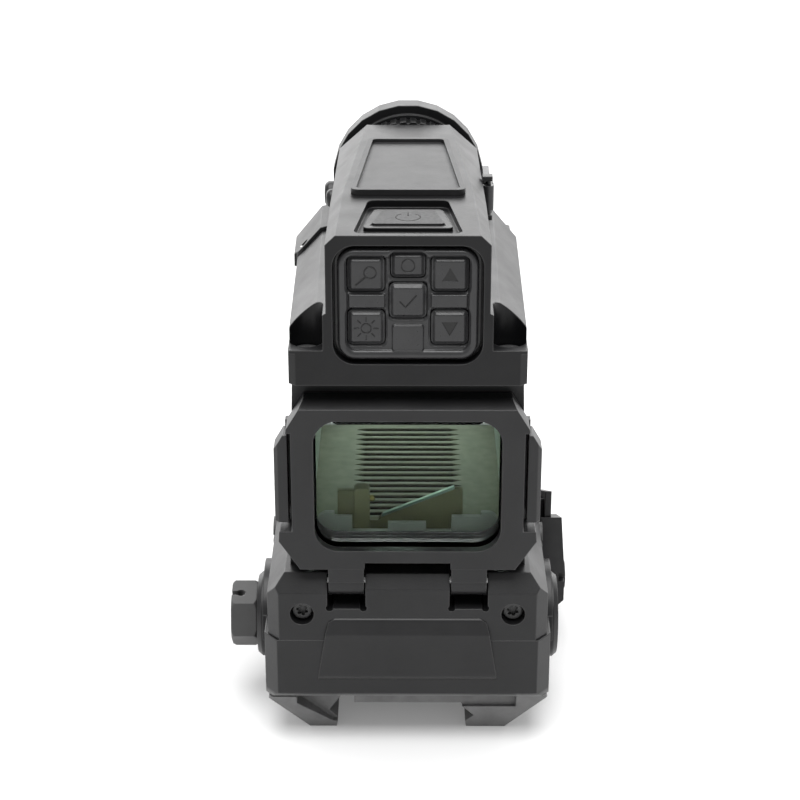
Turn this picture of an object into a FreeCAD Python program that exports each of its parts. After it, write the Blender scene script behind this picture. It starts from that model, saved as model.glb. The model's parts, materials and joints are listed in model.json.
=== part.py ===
import FreeCAD, Part
import math
import os

# Enclosed reflex sight with a camera module on top, clamped to an accessory rail.
# Millimetres. While it is modelled, y is the depth forward of the rear face, and
# every piece moves by REAR_FACE_Y when it is written. z is the height above the
# rail seat, x is to the right for someone who looks through the sight.

V = FreeCAD.Vector

# ---- driving dimensions -----------------------------------------------------
REAR_FACE_Y = -24.1        # rear face in the part's frame, main seat land centred at 0
BODY_LENGTH = 62.0
BASE_HALF = 22.5           # base, half width
BASE_BOTTOM = 2.3
BASE_EDGE = 3.5            # lower edge of the rear face, above its chamfer
PARTING = 13.0             # joint between base and upper body
DECK = 24.0                # top of the upper body, floor of the sight tunnel
UPPER_HALF = 21.9
UPPER_LENGTH = 60.0

RAIL_SEAT_HALF = 8.5
RAIL_GROOVE_HALF = 10.65   # widest part of the rail's V
RAIL_GROOVE_DROP = 2.6
RAIL_LIP_HALF = 9.3
RAIL_LIP_DROP = 4.0
JAW_BOTTOM = -5.4
JAW_FOOT_HALF = 15.7
JAW_OPEN = 1.9             # the moving jaw rests this far open
LUG_Y = (45.2, 50.0)       # recoil lug, one rail slot wide

BOLT_Y = 16.0
BOLT_Z = 9.0
BOLT_RADIUS = 2.4
BOSS_RADIUS = 6.95
SWELL_RADIUS = 9.0
BOSS_OUT = 24.3
HEX_RADIUS = 5.45
HEX_IN = 24.45
HEX_OUT = 28.6
COIN_SLOT_TURN = 108        # degrees from forward, direction of the slot in the head

HINGE_Y = 2.4
HINGE_Z = 22.6
HINGE_PIN_RADIUS = 0.8
KNUCKLE_RADIUS = 2.35
KNUCKLE_IN = 6.75
KNUCKLE_OUT = 12.2
KNUCKLE_GAP = 0.25
SLOT_FLOOR = 18.6

COVER_THICK = 4.4
COVER_LOW = 25.5
COVER_FACE_TOP = 52.1
COVER_TOP = 53.2
COVER_HALF_LOW = 19.7
COVER_HALF_TOP = 18.25
WINDOW_HALF = 14.2
WINDOW_LOW = 28.6
WINDOW_TOP = 50.3
WINDOW_CORNER = 3.8
NOTCH_FLOOR = 17.6
NOTCH_LOW = 31.95
NOTCH_TOP = 48.3

LATCH_LOW = 33.3
LATCH_TOP = 47.7
LATCH_OUT = 20.2
LATCH_PIN_X = 19.4
LATCH_PIN_Y = 7.4
LATCH_TAIL_Y = 8.7
LATCH_ARM_Z = (36.2, 43.2)
EAR_Z = (38.0, 41.4)       # ear of the housing that carries the latch pin

TUNNEL_REAR = 4.7
TUNNEL_HALF_LOW = 18.3
TUNNEL_HALF_TOP = 17.4
TUNNEL_INNER_HALF = 15.4
TUNNEL_INNER_TOP = 51.0
TUNNEL_TOP = 56.1
PANE_CORNER = 4.3
FLOOR_TOP = 25.6           # land of the grooved floor
GROOVE_PITCH = 2.1
GROOVE_COUNT = 18
MIRROR_LOW = (-4.2, 28.7)  # foot and head of the slanted mirror, x and z
MIRROR_HIGH = (7.4, 33.6)

FLANGE_TOP = 61.6
FLANGE_HALF = 17.65
MODULE_LENGTH = 60.5
SHOULDER_LENGTH = 46.0
HOOD_HALF = 12.0
HOOD_TOP = 79.3
SCOOP_X = 15.05
SCOOP_Y = 4.1
SCOOP_RADIUS = 2.55
DOOR_REAR = 35.5
DOOR_PIN = (-17.0, 37.0)   # battery door hinge, x and y

POD_REAR = 30.0
POD_FRONT = 50.0
POD_OUT = 26.8
POD_TOP = 19.6             # at the rear; the top runs down to POD_NOSE at the front
POD_NOSE = 10.4
POD_BUTTON_Y = (35.0, 44.5)
POD_BUTTON_Z = 6.2
GUARD_X = (23.1, 24.2)

KEY_SIZE = 5.4
KEY_COLUMN = 6.1
KEY_ROW_TOP = 73.3
KEY_ROW_MID = 69.2
KEY_ROW_LOW = 65.06
KEYPAD_HALF = 11.0
KEYPAD_LOW = 59.45
KEYPAD_TOP = 77.8

OPTIC_Z = 68.6             # axis of the objective
BELL_RADIUS = 13.15
FOCUS_RADIUS = 11.1
BARREL_RADIUS = 10.2
RUNNING = 0.05             # radial clearance of every turning fit


# ---- small helpers ----------------------------------------------------------
def block(x, y, z):
    """Box between two x, two y and two z values."""
    return Part.makeBox(x[1] - x[0], y[1] - y[0], z[1] - z[0], V(x[0], y[0], z[0]))


def rod(radius, start, along, length):
    """Cylinder from a start point along a direction."""
    return Part.makeCylinder(radius, length, V(*start), V(*along))


def tube(outer, inner, start, along, length):
    """Ring: an outer cylinder less an inner one."""
    return rod(outer, start, along, length).cut(rod(inner, start, along, length))


def face_of(points):
    """Plane face inside a closed run of straight edges."""
    corners = [V(*p) for p in points]
    return Part.Face(Part.makePolygon(corners + corners[:1]))


def rear_view(points, y0, y1):
    """Outline in x and z, carried along y."""
    return face_of([(x, y0, z) for x, z in points]).extrude(V(0, y1 - y0, 0))


def plan_view(points, z0, z1):
    """Outline in x and y, carried up z."""
    return face_of([(x, y, z0) for x, y in points]).extrude(V(0, 0, z1 - z0))


def side_view(points, x0, x1):
    """Outline in y and z, carried along x."""
    return face_of([(x0, y, z) for y, z in points]).extrude(V(x1 - x0, 0, 0))


def both_sides(points):
    """Right half of a symmetric outline, closed with its mirror image."""
    return points + [(-x, z) for x, z in reversed(points)]


def mirrored(shape):
    """The same piece on the other side of the sight."""
    return shape.mirror(V(0, 0, 0), V(1, 0, 0))


def edges_along(shape, direction):
    """Straight edges parallel to one direction."""
    way = V(*direction)
    found = []
    for edge in shape.Edges:
        if edge.Curve.TypeId != "Part::GeomLine":
            continue
        if edge.Curve.Direction.cross(way).Length < 1e-6:
            found.append(edge)
    return found


def rounded(shape, radius, direction):
    """Fillet every edge that runs along one direction."""
    return shape.makeFillet(radius, edges_along(shape, direction))


def panel(half, low, top, corner, y0, y1, centre=0.0):
    """Rounded rectangle seen from the rear, between two depths."""
    plate = block((centre - half, centre + half), (y0, y1), (low, top))
    return rounded(plate, corner, (0, 1, 0))


def hexagon(radius, x0, x1, y, z):
    """Hexagonal bar along x, with two corners at front and rear."""
    points = []
    for i in range(6):
        turn = math.radians(60 * i + 15)
        points.append((y + radius * math.cos(turn), z + radius * math.sin(turn)))
    return side_view(points, x0, x1)


def star_socket(radius, depth, start, along):
    """Six-lobed driver socket, as a cutter."""
    lobes = rod(radius * 0.68, start, along, depth)
    side = V(*along).cross(V(0.3, 0.2, 1.0))
    side.normalize()
    up = V(*along).cross(side)
    up.normalize()
    for i in range(6):
        turn = math.radians(60 * i)
        out = side * math.cos(turn) + up * math.sin(turn)
        centre = V(*start) + out * (radius * 0.72)
        lobes = lobes.fuse(Part.makeCylinder(radius * 0.26, depth, centre, V(*along)))
    return lobes


def screw(head_radius, head_high, shank_radius, shank_long, start, along):
    """Cap screw with a star socket: start is the head's outer face."""
    way = V(*along)
    under = V(*start) + way * head_high
    body = rod(head_radius, start, along, head_high)
    body = body.fuse(Part.makeCylinder(shank_radius, shank_long, under, way))
    return body.cut(star_socket(head_radius * 0.66, head_high * 0.6, start, along))


# ---- base and rail clamp ------------------------------------------------------
def base_plan(half, length, corner_x, corner_y):
    """Plan outline of a block with its four upright corners cut off."""
    far = length - corner_y
    right = [(half - corner_x, 0), (half, corner_y), (half, far), (half - corner_x, length)]
    return right + [(-x, y) for x, y in reversed(right)]


def end_slopes(shape):
    """Cut the undercut slope off the rear and front ends of the clamp."""
    rear = [(-1, BASE_EDGE), (0, BASE_EDGE), (1.2, BASE_BOTTOM), (4.6, JAW_BOTTOM - 0.1),
            (4.6, -7), (-1, -7)]
    front = [(BODY_LENGTH - y, z) for y, z in rear]
    shape = shape.cut(side_view(rear, -30, 30))
    return shape.cut(side_view(front, -30, 30))


def sight_base():
    body = plan_view(base_plan(BASE_HALF, BODY_LENGTH, 2.1, 2.6), BASE_BOTTOM, PARTING)
    keel = block((-RAIL_SEAT_HALF, RAIL_SEAT_HALF), (3.0, 59.0), (0, BASE_BOTTOM))
    jaw = rear_view([
        (RAIL_SEAT_HALF, 0), (RAIL_GROOVE_HALF, -RAIL_GROOVE_DROP),
        (RAIL_LIP_HALF, -RAIL_LIP_DROP), (RAIL_LIP_HALF + 0.2, JAW_BOTTOM),
        (JAW_FOOT_HALF, JAW_BOTTOM), (22.0, 1.9), (22.2, BASE_BOTTOM),
        (RAIL_SEAT_HALF, BASE_BOTTOM),
    ], 0, BODY_LENGTH)
    swells = [bolt_swell(side, BOLT_Z, PARTING) for side in (-1, 1)]
    body = end_slopes(body.fuse([keel, jaw] + swells))
    pocket = [(RAIL_SEAT_HALF, BASE_BOTTOM), (RAIL_SEAT_HALF, -0.3), (17.3, -0.3),
              (17.3, BASE_BOTTOM)]
    for y0, y1 in ((-1, 3.0), (59.0, 63.0)):
        body = body.cut(rear_view(pocket, y0, y1))
    pocket = block((-21.0, -10.5), (11.2, 20.8), (BASE_BOTTOM - 1, 12.4))
    hole = rod(BOLT_RADIUS + RUNNING, (-30, BOLT_Y, BOLT_Z), (1, 0, 0), 60)
    relief = block((-14, 14), (26, 56), (6.0, PARTING + 1))
    body = body.cut(pocket.fuse([hole, relief]))
    for x in (-16.4, 16.4):
        body = body.cut(rod(0.9, (x, 6.0, 5.0), (0, 0, 1), 9))
    return body.cut(lug_bar(0.0))


def rail_jaw():
    """Moving jaw on the left, with the lug that the clamp bolt draws."""
    half = [
        (-RAIL_SEAT_HALF - 0.3, 2.0), (-RAIL_SEAT_HALF - 0.3, 0.0),
        (-RAIL_GROOVE_HALF, -RAIL_GROOVE_DROP), (-RAIL_LIP_HALF, -RAIL_LIP_DROP),
        (-RAIL_LIP_HALF - 0.2, JAW_BOTTOM), (-JAW_FOOT_HALF + JAW_OPEN, JAW_BOTTOM),
        (-22.0 + JAW_OPEN, 1.7), (-22.0 + JAW_OPEN, 2.0),
    ]
    body = rear_view([(x - JAW_OPEN, z) for x, z in half], 0, BODY_LENGTH)
    body = end_slopes(body)
    lug = block((-19.4, -14.4), (11.6, 20.4), (1.5, 12.0))
    body = body.fuse(lug)
    body = body.cut(rod(BOLT_RADIUS + RUNNING, (-21, BOLT_Y, BOLT_Z), (1, 0, 0), 8))
    pocket = [(-17.6, 3.0), (-17.6, 0.4), (-11.9, -4.1), (-9.0, -4.1), (-9.0, 3.0)]
    for y0, y1 in ((-1, 5.0), (57.0, 63.0)):
        body = body.cut(rear_view(pocket, y0, y1))
    return body


def lug_bar(drop):
    """Cross bar set into the seat, reaching down by a drop."""
    return block((-RAIL_SEAT_HALF, RAIL_SEAT_HALF), LUG_Y, (-drop, 1.2))


def bolt_swell(side, low, high):
    """Part of the low round swelling on the side, around the clamp bolt."""
    start = (side * (UPPER_HALF - 0.5), BOLT_Y, BOLT_Z)
    disc = rod(SWELL_RADIUS, start, (side, 0, 0), 23.2 - UPPER_HALF + 0.5)
    return disc.common(block((-30, 30), (0, 40), (low, high)))


def recoil_lug():
    """Cross bar that sits in one slot of the rail."""
    return lug_bar(2.4)


def clamp_bolt():
    """Hexagonal head with a coin slot, and the long shank through the base."""
    head = hexagon(HEX_RADIUS, -HEX_OUT, -HEX_IN, BOLT_Y, BOLT_Z)
    half = (HEX_OUT - HEX_IN) / 2
    for start, along in ((-HEX_OUT, 1), (-HEX_IN, -1)):
        trim = Part.makeCone(HEX_RADIUS - 0.45, HEX_RADIUS - 0.45 + 2 * half, 2 * half,
                             V(start, BOLT_Y, BOLT_Z), V(along, 0, 0))
        head = head.common(trim)
    turn = math.radians(COIN_SLOT_TURN)
    way = V(0, math.cos(turn), math.sin(turn))
    slot = Part.makeCylinder(0.7, 16, V(-HEX_OUT + 1.5, BOLT_Y, BOLT_Z) - way * 8, way)
    mouth = block((-HEX_OUT - 1, -HEX_OUT + 1.5), (-8, 8), (-0.45, 0.45))
    mouth.rotate(V(0, 0, 0), V(1, 0, 0), COIN_SLOT_TURN)
    mouth.translate(V(0, BOLT_Y, BOLT_Z))
    slot = slot.fuse(mouth)
    shank = rod(BOLT_RADIUS, (-HEX_IN, BOLT_Y, BOLT_Z), (1, 0, 0), HEX_IN + 23.8)
    return head.fuse(shank).cut(slot)


def side_boss(side):
    """Stepped round boss around the clamp bolt, on the left or the right."""
    start = (side * BASE_HALF, BOLT_Y, BOLT_Z)
    low = rod(BOSS_RADIUS, start, (side, 0, 0), 1.1)
    low = low.cut(bolt_swell(side, BOLT_Z, 20))
    cone = Part.makeCone(BOSS_RADIUS, BOSS_RADIUS - 0.6, BOSS_OUT - BASE_HALF - 1.1,
                         V(side * (BASE_HALF + 1.1), BOLT_Y, BOLT_Z), V(side, 0, 0))
    hole_start = (side * (BASE_HALF - 1), BOLT_Y, BOLT_Z)
    hole = rod(BOLT_RADIUS + RUNNING, hole_start, (side, 0, 0), 6 if side < 0 else 2.6)
    return low.fuse(cone).cut(hole)


# ---- upper body and the hinge --------------------------------------------------
def upper_body():
    body = plan_view(base_plan(UPPER_HALF, UPPER_LENGTH, 1.9, 2.2), PARTING, DECK)
    for side in (-1, 1):
        wedge = [(side * 19.0, DECK + 0.1), (side * 23, DECK + 0.1), (side * 23, 20.2),
                 (side * UPPER_HALF, 20.2)]
        body = body.cut(rear_view(wedge, -1, 70))
    rear_top = [(-1, DECK + 1), (2.0, DECK + 1), (2.0, DECK), (0, 21.2), (-1, 21.2)]
    mid_top = [(-1, DECK + 1), (1.5, DECK + 1), (1.5, DECK), (0, 21.9), (-1, 21.9)]
    body = body.cut(side_view(rear_top, -30, -7).fuse(side_view(rear_top, 7, 30)))
    body = body.cut(side_view(mid_top, -8, 8))
    body = body.fuse([bolt_swell(side, PARTING, 20) for side in (-1, 1)])
    for side in (-1, 1):
        ends = sorted((side * (KNUCKLE_IN - KNUCKLE_GAP), side * (KNUCKLE_OUT + KNUCKLE_GAP)))
        slot = block(ends, (-1, 5.3), (SLOT_FLOOR, DECK + 1))
        for x in (ends[0] + 0.35, ends[1] - 0.35):
            slot = slot.fuse(rod(0.55, (x, -1, SLOT_FLOOR + 0.1), (0, 1, 0), 6.3))
        body = body.cut(slot)
        hole = rod(1.85, (side * 16.4, -1, 17.65), (0, 1, 0), 3.6)
        shank = rod(0.9, (side * 16.4, 0, 17.65), (0, 1, 0), 12)
        body = body.cut(hole.fuse(shank))
    body = body.cut(rod(HINGE_PIN_RADIUS, (-17.5, HINGE_Y, HINGE_Z), (1, 0, 0), 35))
    bay = block((-14, 14), (12, 56), (PARTING - 1, DECK - 1.6))
    body = body.cut(bay)
    for side in (-1, 1):
        start = (side * 19.0, 29.0 - 2.0 * (side > 0), 17.5)
        body = body.cut(rod(2.55, start, (side, 0, 0), 5))
    return body


def rear_pad():
    """Pad on the rear face: it swells from its top edge and fades out at the bottom."""
    outline = both_sides([(14.1, 6.0), (12.8, 14.3), (12.3, 16.2), (11.2, 17.0)])
    swell = side_view([(0, 17.0), (-0.8, 14.3), (0, 6.0)], -30, 30)
    return rear_view(outline, -2, 0).common(swell)


def hinge_pin():
    return rod(HINGE_PIN_RADIUS, (-17.5, HINGE_Y, HINGE_Z), (1, 0, 0), 35)


def body_screws():
    left = screw(1.45, 1.3, 0.9, 8, (-16.4, 1.3, 17.65), (0, 1, 0))
    right = screw(1.45, 1.3, 0.9, 8, (16.4, 1.3, 17.65), (0, 1, 0))
    return Part.makeCompound([left, right])


# ---- flip-down cover ------------------------------------------------------------
def cover_frame():
    outline = [
        (COVER_HALF_LOW - 3.2, COVER_LOW), (COVER_HALF_LOW, COVER_LOW + 4.8),
        (COVER_HALF_TOP, COVER_TOP - 4.3), (COVER_HALF_TOP - 2.6, COVER_TOP),
    ]
    body = rear_view(both_sides(outline), 0, COVER_THICK)
    bevel = [(-1, COVER_FACE_TOP), (0, COVER_FACE_TOP), (2.0, COVER_TOP), (2.0, 60), (-1, 60)]
    body = body.cut(side_view(bevel, -30, 30))
    opening = panel(WINDOW_HALF, WINDOW_LOW, WINDOW_TOP, WINDOW_CORNER, -1, 6)
    rebate = panel(WINDOW_HALF + 0.8, WINDOW_LOW - 0.8, WINDOW_TOP + 0.8, 4.6, 1.6, 6)
    body = body.cut(opening.fuse(rebate))
    for side in (-1, 1):
        notch = sorted((side * NOTCH_FLOOR, side * 25))
        body = body.cut(block(notch, (-1, 6), (NOTCH_LOW, NOTCH_TOP)))
    gap = KNUCKLE_IN - 0.15
    body = body.cut(block((-gap, gap), (-1, 6), (COVER_LOW - 1, COVER_LOW + 1.1)))
    for side in (-1, 1):
        ends = sorted((side * KNUCKLE_IN, side * KNUCKLE_OUT))
        width = ends[1] - ends[0]
        barrel = rod(KNUCKLE_RADIUS, (ends[0], HINGE_Y, HINGE_Z), (1, 0, 0), width)
        web = side_view([(0.05, HINGE_Z + 0.6), (0.05, COVER_LOW + 0.3),
                         (COVER_THICK, COVER_LOW + 0.3), (COVER_THICK, HINGE_Z + 1.0)],
                        ends[0], ends[1])
        body = body.fuse(barrel.fuse(web))
    bore = rod(HINGE_PIN_RADIUS + RUNNING, (-20, HINGE_Y, HINGE_Z), (1, 0, 0), 40)
    return body.cut(bore)


def cover_window():
    return panel(WINDOW_HALF + 0.7, WINDOW_LOW - 0.7, WINDOW_TOP + 0.7, 4.5, 1.7, 3.1)


def cover_seal():
    ring = panel(WINDOW_HALF + 0.7, WINDOW_LOW - 0.7, WINDOW_TOP + 0.7, 4.5, 3.1, 4.4)
    return ring.cut(panel(WINDOW_HALF - 0.2, WINDOW_LOW + 0.2, WINDOW_TOP - 0.2, 3.6, 3, 5))


# ---- tunnel, windows and the dot projector ----------------------------------------
def tunnel_housing():
    outline = [(TUNNEL_HALF_LOW, DECK), (TUNNEL_HALF_TOP, TUNNEL_TOP)]
    body = rear_view(both_sides(outline), TUNNEL_REAR, UPPER_LENGTH)
    inner = panel(TUNNEL_INNER_HALF, DECK - 8, TUNNEL_INNER_TOP, 4.2, 0, 70)
    body = body.cut(inner)
    for side in (-1, 1):
        ends = sorted((side * 17.2, side * 20.1))
        ear = rounded(block(ends, (5.9, 8.6), EAR_Z), 0.7, (0, 0, 1))
        rail = block(sorted((side * 17.2, side * 18.6)), (4.9, 6.4), (31.5, 48.5))
        body = body.fuse([ear, rail])
        body = body.cut(rod(0.6, (side * LATCH_PIN_X, LATCH_PIN_Y, 20), (0, 0, 1), 40))
    return body


def latch(side):
    """Finger latch beside the cover, turning on an upright pin."""
    right = [
        (18.15, 0.6), (18.15, 4.0), (18.85, 4.6), (18.85, LATCH_TAIL_Y - 0.3),
        (19.1, LATCH_TAIL_Y), (19.9, LATCH_TAIL_Y), (LATCH_OUT, LATCH_TAIL_Y - 0.3),
        (LATCH_OUT, 1.2), (19.6, 0.6),
    ]
    body = plan_view(right, LATCH_LOW, LATCH_TOP)
    bevel = [(18.0, LATCH_TOP + 1), (21.0, LATCH_TOP + 1), (21.0, LATCH_TOP - 2.4),
             (LATCH_OUT, LATCH_TOP - 2.4), (18.8, LATCH_TOP)]
    body = body.cut(rear_view(bevel, -1, 5.5))
    for low, high in ((LATCH_LOW - 1, LATCH_ARM_Z[0]), (LATCH_ARM_Z[1], LATCH_TOP + 1)):
        body = body.cut(block((17, 22), (4.6, 14), (low, high)))
    for i in range(3):
        y = 1.5 + 1.0 * i
        body = body.cut(rod(0.22, (LATCH_OUT + 0.05, y, LATCH_LOW + 2), (0, 0, 1), 9.5))
    fork = block((17, 22), (5.6, 14), (EAR_Z[0] - 0.25, EAR_Z[1] + 0.25))
    pin = rod(0.6 + RUNNING, (LATCH_PIN_X, LATCH_PIN_Y, 20), (0, 0, 1), 40)
    body = body.cut(fork.fuse(pin))
    return body if side > 0 else mirrored(body)


def latch_pins():
    low = LATCH_ARM_Z[0] + 0.2
    high = LATCH_ARM_Z[1] - 0.2
    pins = [rod(0.6, (x, LATCH_PIN_Y, low), (0, 0, 1), high - low)
            for x in (-LATCH_PIN_X, LATCH_PIN_X)]
    return Part.makeCompound(pins)


def rear_window():
    return panel(TUNNEL_INNER_HALF, DECK + 1.2, TUNNEL_INNER_TOP, PANE_CORNER, 7.4, 8.6)


def rear_window_seal():
    ring = panel(TUNNEL_INNER_HALF, DECK + 1.2, TUNNEL_INNER_TOP, PANE_CORNER, 5.0, 7.4)
    return ring.cut(panel(14.3, DECK + 4.45, TUNNEL_INNER_TOP - 1.1, 3.4, 4, 8))


def front_lens():
    """Coated collimating lens at the front of the tunnel."""
    pane = panel(TUNNEL_INNER_HALF, DECK + 1.2, TUNNEL_INNER_TOP, PANE_CORNER, 55.6, 58.0)
    return pane


def front_bezel():
    ring = panel(TUNNEL_INNER_HALF, DECK + 1.2, TUNNEL_INNER_TOP, PANE_CORNER, 58.0, 60.0)
    return ring.cut(panel(14.2, DECK + 2.4, TUNNEL_INNER_TOP - 1.2, 3.4, 57, 61))


def ribbed_floor():
    """Anti-glare floor: a plate with cross grooves that taper at both ends."""
    plate = block((-TUNNEL_INNER_HALF, TUNNEL_INNER_HALF), (9.9, 55.4), (DECK, FLOOR_TOP))
    grooves = []
    for i in range(GROOVE_COUNT):
        y = 17.5 + GROOVE_PITCH * i
        wedge = [(-9.2, y), (-7.4, y + 0.62), (7.4, y + 0.62), (9.2, y),
                 (7.4, y - 0.62), (-7.4, y - 0.62)]
        grooves.append(plan_view(wedge, FLOOR_TOP - 1.1, FLOOR_TOP + 1))
    return plate.cut(grooves[0].fuse(grooves[1:]))


def sill_plate():
    """Upright sill inside the rear window, cut away in the middle for the projector."""
    body = panel(14.2, DECK, 31.0, 1.6, 9.0, 9.8)
    body = body.cut(block((-11.5, 11.5), (8, 11), (30.3, 32)))
    body = body.cut(block((-8.7, 6.9), (8, 11), (27.8, 32)))
    return body.fuse(block((-3.1, 2.9), (9.0, 9.8), (27, 29.2)))


def emitter_post():
    """Post that holds the dot emitter, left of the middle."""
    body = block((-8.4, -5.95), (9.9, 11.9), (FLOOR_TOP, 34.7))
    body = rounded(body, 0.7, (0, 1, 0))
    wing = block((-11.0, -8.4), (10.5, 11.5), (FLOOR_TOP, 34.0))
    return body.fuse(wing).cut(rod(0.6, (-7.0, 10.9, 32.6), (1, 0, 0), 3))


def emitter_diode():
    dome = Part.makeSphere(0.55, V(-5.6, 10.9, 32.6))
    return rod(0.55, (-6.9, 10.9, 32.6), (1, 0, 0), 1.3).fuse(dome)


def mirror_block():
    """Block whose slanted top carries the mirror."""
    outline = [(-8.3, FLOOR_TOP), (-8.3, 28.2), (-4.6, 28.2), MIRROR_LOW, MIRROR_HIGH,
               (8.7, MIRROR_HIGH[1] - 0.2), (8.7, 29.0), (6.9, 28.8), (6.9, FLOOR_TOP)]
    return rear_view(outline, 12.0, 13.2)


def fold_mirror():
    """Coated strip that turns the emitter's light towards the front lens."""
    (x0, z0), (x1, z1) = MIRROR_LOW, MIRROR_HIGH
    outline = [(x0 + 0.02, z0 + 0.02), (x1, z1 + 0.02), (x1 - 0.1, z1 + 0.5),
               (x0 + 0.3, z0 + 0.65)]
    return rear_view(outline, 12.0, 12.6)


def dot_board():
    """Circuit board of the red dot, in the bay below the tunnel."""
    return block((-13.0, 13.0), (13, 54), (16.0, 17.2))


def dot_cell():
    """Coin cell of the red dot, in the relief of the base."""
    return rod(9.8, (0, 41, 7.0), (0, 0, 1), 3.2)


def adjuster(side):
    """Slotted adjuster screw on the side of the upper body."""
    y = 29.0 - 2.0 * (side > 0)
    start = (side * 19.1, y, 17.5)
    body = rod(2.5, start, (side, 0, 0), 3.4)
    return body.cut(block(sorted((side * 21.8, side * 23)), (y - 3, y + 3), (17.05, 17.95)))


# ---- side pod --------------------------------------------------------------------
def below_slope(y0, y1, under, over):
    """Side outline of a slab that runs down forward, parallel to the pod's top."""
    fall = (POD_TOP - POD_NOSE) / (POD_FRONT - POD_REAR)
    near = POD_TOP - fall * (y0 - POD_REAR)
    far = POD_TOP - fall * (y1 - POD_REAR)
    return [(y0, near + under), (y0, near + over), (y1, far + over), (y1, far + under)]


def side_pod():
    """Control pod on the right of the base: its top runs down forward, its buttons face out."""
    outline = [(BASE_HALF, 2.6), (25.6, 2.6), (POD_OUT, 3.8), (POD_OUT, 9.0),
               (POD_OUT - 0.8, POD_TOP), (BASE_HALF, POD_TOP)]
    body = rear_view(outline, POD_REAR, POD_FRONT)
    body = body.cut(side_view(below_slope(POD_REAR - 1, POD_FRONT + 1, 0, 20), 20, 30))
    body = body.cut(block((25.8, 28), (POD_REAR - 1, POD_REAR + 1.2), (7.4, 9.0)))
    web = side_view(below_slope(33.0, POD_FRONT, -1, 3.4), BASE_HALF, GUARD_X[0] - 0.05)
    body = body.fuse(web)
    for y in POD_BUTTON_Y:
        body = body.cut(rod(2.5, (24.7, y, POD_BUTTON_Z), (1, 0, 0), 4))
    return body


def pod_guard():
    """Thin wing plate that stands up beside the pod."""
    return side_view(below_slope(POD_REAR + 0.4, POD_FRONT, 0.02, 4.9), *GUARD_X)


def pod_button(y):
    body = rod(2.4, (25.3, y, POD_BUTTON_Z), (1, 0, 0), 1.9)
    return body.cut(block((27.0, 28), (y - 1.2, y + 1.2), (POD_BUTTON_Z - 0.2, POD_BUTTON_Z + 0.2)))


# ---- camera module ---------------------------------------------------------------
def hood_section(y, half, corner, top_half):
    points = both_sides([(half, FLANGE_TOP - 3), (half, corner), (top_half, HOOD_TOP)])
    corners = [V(x, y, z) for x, z in points]
    return Part.makePolygon(corners + corners[:1])


def shoulder_section(y, half, edge, bend, meet):
    points = both_sides([(half, FLANGE_TOP - 0.5), (half, edge), bend, (HOOD_HALF, meet)])
    corners = [V(x, y, z) for x, z in points]
    return Part.makePolygon(corners + corners[:1])


def hood_outer():
    rear = [hood_section(0, HOOD_HALF, 77.85, 10.5), hood_section(21, HOOD_HALF, 77.2, 10.0)]
    front = [rear[1], hood_section(MODULE_LENGTH, 11.8, 75.1, 7.1)]
    return Part.makeLoft(rear, True, True).fuse(Part.makeLoft(front, True, True))


def shoulders(grow=0.0):
    rear_bend = (13.6 + 0.5 * grow, 66.5 + 0.8 * grow)
    front_bend = (14.0 + 0.5 * grow, 68.9 + 0.8 * grow)
    ends = [shoulder_section(0, FLANGE_HALF - 0.1 + grow, 63.5, rear_bend, 67.4 + grow),
            shoulder_section(SHOULDER_LENGTH, 18.1 + grow, 64.0, front_bend, 69.3 + grow)]
    return Part.makeLoft(ends, True, True)


def flange():
    plan = base_plan(FLANGE_HALF, MODULE_LENGTH, 1.05, 0.9)
    return plan_view(plan, TUNNEL_TOP, FLANGE_TOP)


def module_housing():
    body = flange().fuse([hood_outer(), shoulders()])
    for side in (-1, 1):
        hole = rod(SCOOP_RADIUS, (side * SCOOP_X, SCOOP_Y, 58.6), (0, 0, 1), 14)
        ends = sorted((side * (HOOD_HALF + 0.5), side * 20))
        open_rear = block(ends, (-1, SCOOP_Y), (FLANGE_TOP, 72))
        shank = rod(1.0, (side * SCOOP_X, SCOOP_Y, 54), (0, 0, 1), 8)
        body = body.cut(hole.fuse([open_rear, shank]))
    body = body.cut(block((-10.2, 10.2), (3.2, 57.0), (57.6, 75.0)))
    keypad = panel(KEYPAD_HALF, KEYPAD_LOW, KEYPAD_TOP, 3.3, -1, 2.2)
    key_room = panel(9.9, 60.6, 76.9, 1.5, 0, 3.4)
    body = body.cut(keypad.fuse(key_room))
    body = body.cut(rod(BARREL_RADIUS + RUNNING, (0, 56, OPTIC_Z), (0, 1, 0), 6))
    power = [(-8.0, 1.2), (8.0, 1.2), (6.0, 17.3), (-6.0, 17.3)]
    recess = rounded(plan_view(power, HOOD_TOP - 1.2, HOOD_TOP + 1), 1.3, (0, 0, 1))
    ring = rounded(plan_view(power_outline(1.3), HOOD_TOP - 1.3, HOOD_TOP - 0.5), 0.8, (0, 0, 1))
    body = body.cut(recess.cut(ring))
    body = body.cut(plan_view(power_outline(0.15), HOOD_TOP - 5, HOOD_TOP + 1))
    door = block((-20, -HOOD_HALF - 0.05), (DOOR_REAR, 50), (FLANGE_TOP, 73))
    body = body.cut(door)
    body = body.cut(block((9, 13), (40.6, 45.4), (72.0, 75.0)))
    return body.cut(rod(0.6, (*DOOR_PIN, 60.1), (0, 0, 1), 5))


def module_screws():
    screws = [screw(2.1, 1.6, 1.0, 2.4, (x, SCOOP_Y, 60.2), (0, 0, -1))
              for x in (-SCOOP_X, SCOOP_X)]
    return Part.makeCompound(screws)


def power_outline(grow=0.0):
    return [(-5.4 - grow, 6.5 - grow), (5.4 + grow, 6.5 - grow),
            (3.8 + grow, 12.9 + grow), (-3.8 - grow, 12.9 + grow)]


def power_button():
    return rounded(plan_view(power_outline(), HOOD_TOP - 3.6, HOOD_TOP - 0.25), 0.5, (0, 0, 1))


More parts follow.
